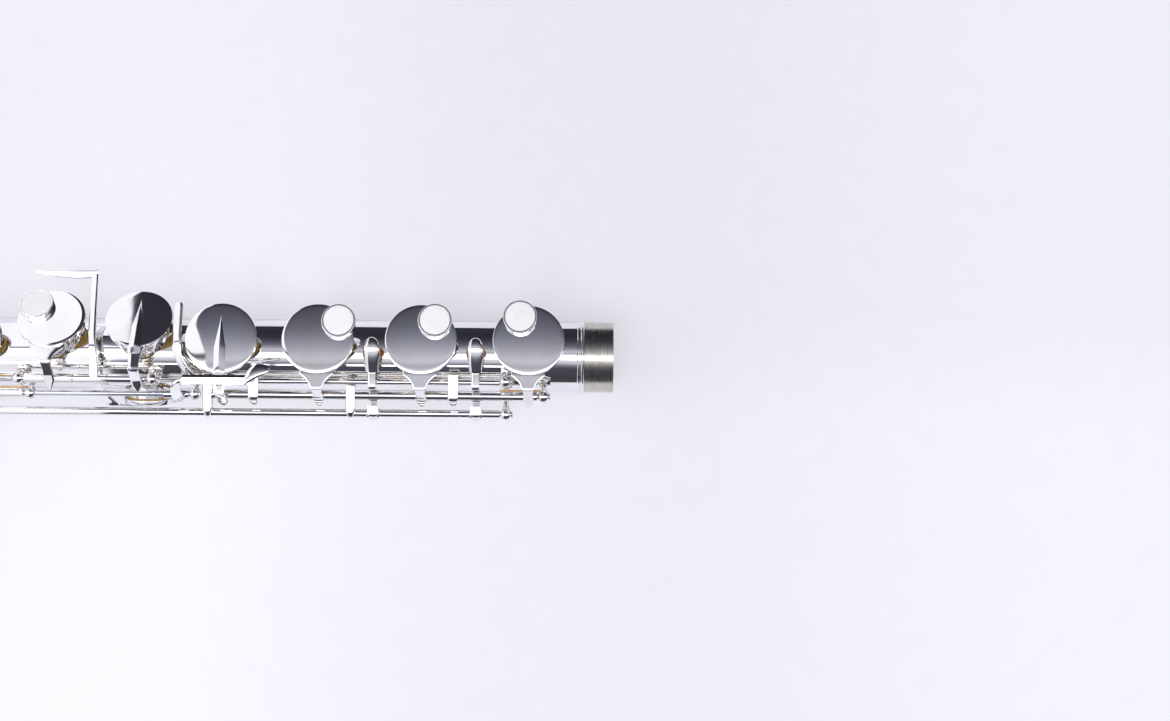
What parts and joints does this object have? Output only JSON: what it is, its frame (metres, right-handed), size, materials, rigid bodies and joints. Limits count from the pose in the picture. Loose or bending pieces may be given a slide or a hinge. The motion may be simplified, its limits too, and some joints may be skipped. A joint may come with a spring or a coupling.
{
  "type": "concert flute",
  "caption": "Silver-plated alto flute, head and body joint, with closed cups, offset touches and sprung keys that open and close the tone holes; the foot joint is left off",
  "frame": {"origin": "on the bore axis at the foot tenon's shoulder", "axes": "+X along the bore out of the foot end, +Z the way the finger cups face, -Y the player's side with the rods"},
  "size_m": [0.725, 0.0555, 0.0453],
  "materials": {
    "silver_plate": "silver plate, mirror polished",
    "nickel_tenon": "nickel silver, brushed round the bore",
    "steel_rod": "ground and polished steel",
    "spring_gold": "drawn gold-coloured spring wire",
    "pad_skin": "yellow skin over felt",
    "touch_white": "white inlay, smooth",
    "stopper_cork": "fine cork"
  },
  "bodies": {
    "body_joint": {"body_tube": "silver_plate", "barrel": "silver_plate", "foot_ring": "silver_plate", "foot_tenon": "nickel_tenon", "rib": "silver_plate", "ball_posts": "silver_plate", "plate_posts": "silver_plate", "double_posts": "silver_plate", "steel_rh": "steel_rod", "steel_c": "steel_rod", "steel_g": "steel_rod", "steel_thumb": "steel_rod", "needle_springs": "spring_gold"},
    "d_key": {"key_d": "silver_plate", "pad_d": "pad_skin", "touch_d": "touch_white"},
    "e_key": {"key_e": "silver_plate", "pad_e": "pad_skin", "touch_e": "touch_white"},
    "f_key": {"key_f": "silver_plate", "pad_f": "pad_skin", "touch_f": "touch_white"},
    "f_sharp_key": {"key_f_sharp": "silver_plate", "pad_f_sharp": "pad_skin"},
    "g_lower_key": {"key_g_lower": "silver_plate", "pad_g_lower": "pad_skin"},
    "g_upper_key": {"key_g_upper": "silver_plate", "pad_g_upper": "pad_skin", "touch_g_upper": "touch_white"},
    "g_sharp_key": {"key_g_sharp": "silver_plate", "pad_g_sharp": "pad_skin"},
    "a_key": {"key_a": "silver_plate", "pad_a": "pad_skin", "touch_a": "touch_white"},
    "b_flat_key": {"key_b_flat": "silver_plate", "pad_b_flat": "pad_skin", "lever_b_flat": "silver_plate", "steel_b_flat": "steel_rod"},
    "c_key": {"key_c": "silver_plate", "pad_c": "pad_skin", "pad_c_sharp": "pad_skin", "touch_c": "touch_white"},
    "thumb_key": {"key_thumb": "silver_plate", "pad_thumb": "pad_skin"},
    "thumb_b_flat_lever": {"lever_thumb_b_flat": "silver_plate"},
    "trill_d_key": {"key_trill_d": "silver_plate", "pad_trill_d": "pad_skin", "lever_trill_d": "silver_plate"},
    "trill_d_sharp_key": {"key_trill_d_sharp": "silver_plate", "pad_trill_d_sharp": "pad_skin", "lever_trill_d_sharp": "silver_plate", "rod_trill_d_sharp": "steel_rod"},
    "split_e_lever": {"lever_split_e": "silver_plate"},
    "head_joint": {"head_tube": "silver_plate", "lip_plate": "silver_plate", "riser": "silver_plate", "stopper_cork": "stopper_cork", "stopper_screw": "steel_rod"},
    "crown": {"crown": "silver_plate"}
  },
  "joints": [
    {"name": "d_press", "type": "hinge", "parent": "body_joint", "child": "d_key", "pos_m": [-0.0207, -0.0184, 0.00926], "axis": [-1, 0, 0], "range_deg": [0, 8], "stiffness_Nm_per_rad": 0.02, "springref_deg": -40.11},
    {"name": "e_press", "type": "hinge", "parent": "body_joint", "child": "e_key", "pos_m": [-0.0607, -0.0184, 0.00926], "axis": [-1, 0, 0], "range_deg": [0, 8], "stiffness_Nm_per_rad": 0.02, "springref_deg": -40.11},
    {"name": "f_press", "type": "hinge", "parent": "body_joint", "child": "f_key", "pos_m": [-0.099, -0.0184, 0.00926], "axis": [-1, 0, 0], "range_deg": [0, 8], "stiffness_Nm_per_rad": 0.02, "springref_deg": -40.11},
    {"name": "f_sharp_press", "type": "hinge", "parent": "body_joint", "child": "f_sharp_key", "pos_m": [-0.1349, -0.0184, 0.00926], "axis": [-1, 0, 0], "range_deg": [0, 8], "stiffness_Nm_per_rad": 0.02, "springref_deg": -40.11},
    {"name": "g_lower_press", "type": "hinge", "parent": "body_joint", "child": "g_lower_key", "pos_m": [-0.1659, -0.01431, 0.01482], "axis": [-1, 0, 0], "range_deg": [0, 8], "stiffness_Nm_per_rad": 0.02, "springref_deg": -40.11},
    {"name": "g_upper_press", "type": "hinge", "parent": "body_joint", "child": "g_upper_key", "pos_m": [-0.1985, -0.01431, 0.01482], "axis": [-1, 0, 0], "range_deg": [0, 8], "stiffness_Nm_per_rad": 0.02, "springref_deg": -40.11},
    {"name": "g_sharp_press", "type": "hinge", "parent": "body_joint", "child": "g_sharp_key", "pos_m": [-0.182, -0.01431, 0.01482], "axis": [-1, 0, 0], "range_deg": [0, 7], "stiffness_Nm_per_rad": 0.02, "springref_deg": -40.11},
    {"name": "a_press", "type": "hinge", "parent": "body_joint", "child": "a_key", "pos_m": [-0.229, -0.0184, 0.00926], "axis": [-1, 0, 0], "range_deg": [0, 8], "stiffness_Nm_per_rad": 0.02, "springref_deg": -40.11},
    {"name": "b_flat_press", "type": "hinge", "parent": "body_joint", "child": "b_flat_key", "pos_m": [-0.258, -0.0184, 0.00926], "axis": [-1, 0, 0], "range_deg": [0, 8], "stiffness_Nm_per_rad": 0.02, "springref_deg": -40.11},
    {"name": "c_press", "type": "hinge", "parent": "body_joint", "child": "c_key", "pos_m": [-0.286, -0.0184, 0.00926], "axis": [-1, 0, 0], "range_deg": [0, 8], "stiffness_Nm_per_rad": 0.02, "springref_deg": -40.11},
    {"name": "thumb_press", "type": "hinge", "parent": "body_joint", "child": "thumb_key", "pos_m": [-0.272, -0.01783, 0.0025], "axis": [1, 0, 0], "range_deg": [0, 8], "stiffness_Nm_per_rad": 0.02, "springref_deg": -40.11},
    {"name": "thumb_b_flat_press", "type": "hinge", "parent": "body_joint", "child": "thumb_b_flat_lever", "pos_m": [-0.243, -0.01783, 0.0025], "axis": [1, 0, 0], "range_deg": [0, 8], "stiffness_Nm_per_rad": 0.02, "springref_deg": -40.11},
    {"name": "trill_d_press", "type": "hinge", "parent": "body_joint", "child": "trill_d_key", "pos_m": [-0.0789, -0.02419, 0.00501], "axis": [-1, 0, 0], "range_deg": [0, 7], "stiffness_Nm_per_rad": 0.02, "springref_deg": -40.11},
    {"name": "trill_d_sharp_press", "type": "hinge", "parent": "body_joint", "child": "trill_d_sharp_key", "pos_m": [-0.0404, -0.02419, 0.00501], "axis": [-1, 0, 0], "range_deg": [0, 7], "stiffness_Nm_per_rad": 0.02, "springref_deg": -40.11},
    {"name": "split_e_press", "type": "hinge", "parent": "body_joint", "child": "split_e_lever", "pos_m": [-0.1, -0.01374, 0.01132], "axis": [-1, 0, 0], "range_deg": [0, 3.5], "stiffness_Nm_per_rad": 0.02, "springref_deg": -40.11},
    {"name": "head_slide", "type": "slide", "parent": "body_joint", "child": "head_joint", "axis": [-1, 0, 0], "range_m": [0, 0.012]},
    {"name": "crown_turn", "type": "hinge", "parent": "head_joint", "child": "crown", "pos_m": [-0.708, 0, 0], "axis": [-1, 0, 0], "continuous": true}
  ],
  "couplings": [
    {"joint": "f_sharp_press", "follows": "f_press", "ratio": 1},
    {"joint": "g_lower_press", "follows": "g_upper_press", "ratio": 1},
    {"joint": "b_flat_press", "follows": "a_press", "ratio": 1},
    {"joint": "split_e_press", "follows": "e_press", "ratio": 0.4375}
  ]
}
